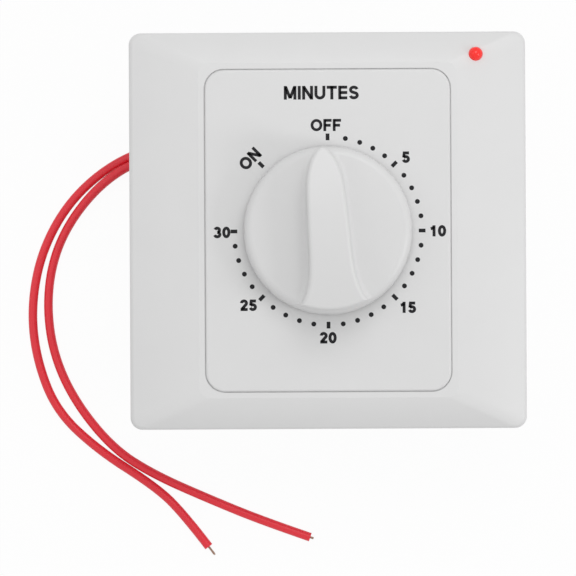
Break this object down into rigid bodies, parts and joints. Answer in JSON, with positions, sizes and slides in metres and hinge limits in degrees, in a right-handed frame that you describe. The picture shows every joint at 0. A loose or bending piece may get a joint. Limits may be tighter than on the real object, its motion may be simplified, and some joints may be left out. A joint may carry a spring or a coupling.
{
  "type": "timer light switch",
  "caption": "Square wall timer switch with inset dial cover, wind-up pointer knob, pilot lamp, clockwork case behind and two leads",
  "frame": {"origin": "middle of the wall plate's back rim, in the wall plane", "axes": "+Z out of the wall through the knob's shaft, +Y toward the OFF mark, +X to the right seen from the front"},
  "size_m": [0.1101, 0.1155, 0.0534],
  "materials": {
    "white_plastic": "moulded white plastic, satin gloss",
    "cover_plastic": "moulded white plastic, satin gloss, printed dial",
    "knob_plastic": "moulded white plastic, smooth gloss",
    "red_lens": "clear red lamp lens",
    "holder_plastic": "black nylon",
    "resistor_sleeve": "glass fibre sleeve",
    "wire_insulation": "black insulation",
    "tinned_wire": "tinned copper",
    "spring_steel": "blued spring steel",
    "zinc_steel": "zinc plated screw steel",
    "zinc_sheet": "zinc plated sheet steel",
    "case_plastic": "white heat resisting plastic",
    "grommet_rubber": "black rubber",
    "plate_brass": "rolled brass sheet",
    "wheel_brass": "cut brass",
    "turned_steel": "turned steel",
    "cam_plastic": "natural nylon",
    "block_plastic": "brown phenolic",
    "leaf_bronze": "phosphor bronze strip",
    "contact_silver": "silver alloy",
    "red_insulation": "red wire insulation"
  },
  "bodies": {
    "root": {"face_plate": "white_plastic", "cover_plate": "cover_plastic", "lamp_lens": "red_lens", "lamp_legs": "tinned_wire", "lamp_holder": "holder_plastic", "lamp_resistor": "resistor_sleeve", "lamp_wire_a": "wire_insulation", "lamp_wire_b": "wire_insulation", "movement_screws": "zinc_steel", "mount_bracket": "zinc_sheet", "case_lid": "case_plastic", "case_body": "case_plastic", "case_screws": "zinc_steel", "lead_grommet": "grommet_rubber", "front_clock_plate": "plate_brass", "back_clock_plate": "plate_brass", "pillars": "turned_steel", "pillar_nuts": "turned_steel", "spring_post": "turned_steel", "mainspring": "spring_steel", "contact_block": "block_plastic", "block_screw": "zinc_steel", "moving_leaf": "leaf_bronze", "fixed_leaf": "leaf_bronze", "moving_contact": "contact_silver", "fixed_contact": "contact_silver", "lead_tails": "red_insulation", "lead_a": "red_insulation", "lead_b": "red_insulation", "lead_a_end": "tinned_wire", "lead_b_end": "tinned_wire"},
    "spindle": {"knob": "knob_plastic", "knob_clip": "spring_steel", "arbor": "turned_steel", "main_wheel": "wheel_brass", "ratchet_wheel": "turned_steel", "click": "turned_steel", "click_stud": "turned_steel", "click_spring": "spring_steel", "cam": "cam_plastic"},
    "second_arbor": {"second_wheel": "wheel_brass", "second_pinion": "turned_steel"},
    "third_arbor": {"third_wheel": "wheel_brass", "third_pinion": "turned_steel"},
    "escape_arbor": {"escape_wheel": "wheel_brass", "escape_pinion": "turned_steel"},
    "balance": {"balance_staff": "turned_steel", "pallet_lever": "wheel_brass", "pallet_pins": "turned_steel", "balance_wheel": "wheel_brass"}
  },
  "joints": [
    {"name": "knob_turn", "type": "hinge", "parent": "root", "child": "spindle", "pos_m": [0, 0, -0.008], "axis": [0, 0, -1], "range_deg": [-40.7, 274.3], "deforming": ["mainspring", "moving_leaf", "moving_contact"]},
    {"name": "second_wheel_spin", "type": "hinge", "parent": "root", "child": "second_arbor", "pos_m": [0.0145, -0.00676, -0.008], "axis": [0, 0, -1], "range_deg": [-2475, 370]},
    {"name": "third_wheel_spin", "type": "hinge", "parent": "root", "child": "third_arbor", "pos_m": [0.016, 0.00272, -0.008], "axis": [0, 0, -1], "range_deg": [-2570, 17290]},
    {"name": "escape_wheel_spin", "type": "hinge", "parent": "root", "child": "escape_arbor", "pos_m": [0.01331, 0.0094, -0.008], "axis": [0, 0, -1], "range_deg": [-86410, 12830]},
    {"name": "balance_rock", "type": "hinge", "parent": "root", "child": "balance", "pos_m": [0.00991, 0.01527, -0.008], "axis": [0, 0, -1], "range_deg": [-5, 5]}
  ],
  "couplings": [
    {"joint": "second_wheel_spin", "follows": "knob_turn", "ratio": -9},
    {"joint": "third_wheel_spin", "follows": "knob_turn", "ratio": 63},
    {"joint": "escape_wheel_spin", "follows": "knob_turn", "ratio": -315}
  ]
}
